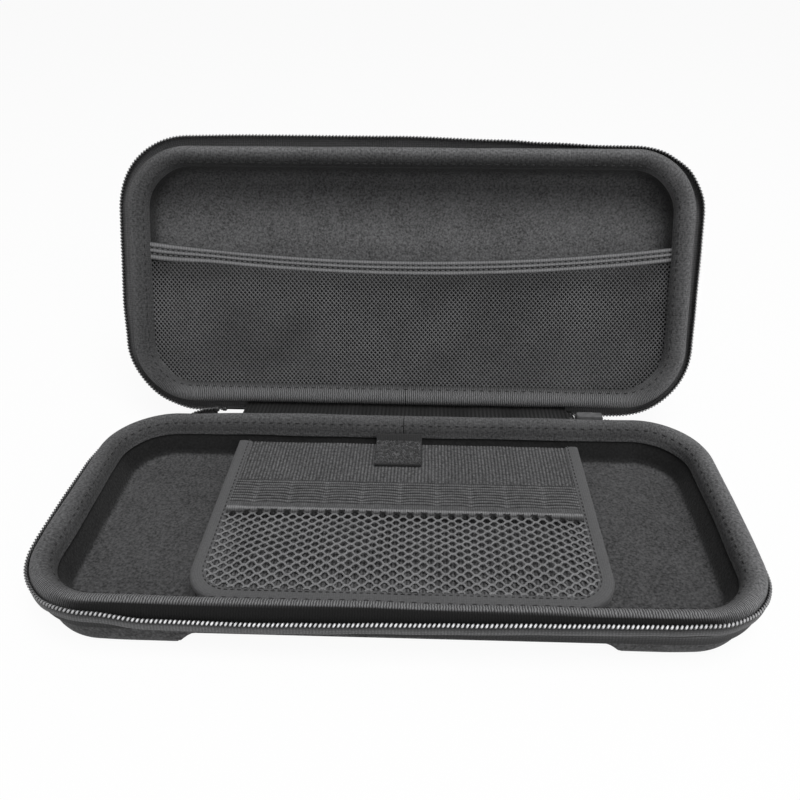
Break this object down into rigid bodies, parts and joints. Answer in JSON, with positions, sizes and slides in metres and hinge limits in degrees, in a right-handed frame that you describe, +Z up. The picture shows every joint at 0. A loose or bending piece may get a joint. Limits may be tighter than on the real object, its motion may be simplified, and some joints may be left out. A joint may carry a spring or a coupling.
{
  "type": "portable console case",
  "caption": "Zip-round moulded carry case for a portable console, shown open: tray with end wells, divider flap with net pocket and tab, and a hinged lid with a net pocket.",
  "frame": {"origin": "centre of the base's footprint on the table, under the two end feet", "axes": "+X to the right along the long side, +Y to the hinge side, +Z up"},
  "size_m": [0.276, 0.2043, 0.1322],
  "materials": {
    "shell_cover": "matte",
    "rim_binding": "matte",
    "zip_tape": "matte",
    "zip_teeth": "satin",
    "hinge_cloth": "matte",
    "slider_metal": "satin",
    "divider_panel": "matte",
    "edge_tape": "matte",
    "elastic": "matte",
    "net": "matte",
    "hook_and_loop": "matte"
  },
  "bodies": {
    "base": {"base_shell": "shell_cover", "base_rim_binding": "rim_binding", "base_zip_tape": "zip_tape", "base_zip_coil": "zip_teeth", "base_zip_stops": "zip_teeth", "hinge_fabric": "hinge_cloth", "zip_slider": "slider_metal", "divider_board": "divider_panel", "divider_binding": "edge_tape", "divider_hinge_tape": "edge_tape", "divider_elastic_band": "elastic", "divider_net_pocket": "net", "closure_tab": "hook_and_loop", "closure_loop_patch": "hook_and_loop", "closure_hook_patch": "hook_and_loop"},
    "lid": {"lid_shell": "shell_cover", "lid_rim_binding": "rim_binding", "lid_zip_tape": "zip_tape", "lid_zip_coil": "zip_teeth", "lid_zip_stops": "zip_teeth", "lid_net_pocket": "net", "lid_pocket_hem": "elastic"},
    "pull": {"zip_pull": "slider_metal"}
  },
  "joints": [
    {"name": "lid_hinge", "type": "hinge", "parent": "base", "child": "lid", "pos_m": [0, 0.0668, 0.0155], "axis": [1, 0, 0], "range_deg": [0, 112.4], "deforming": ["hinge_fabric"]},
    {"name": "pull_swing", "type": "hinge", "parent": "base", "child": "pull", "pos_m": [0.087, 0.06715, 0.0197], "axis": [1, 0, 0], "range_deg": [-5, 45]}
  ]
}
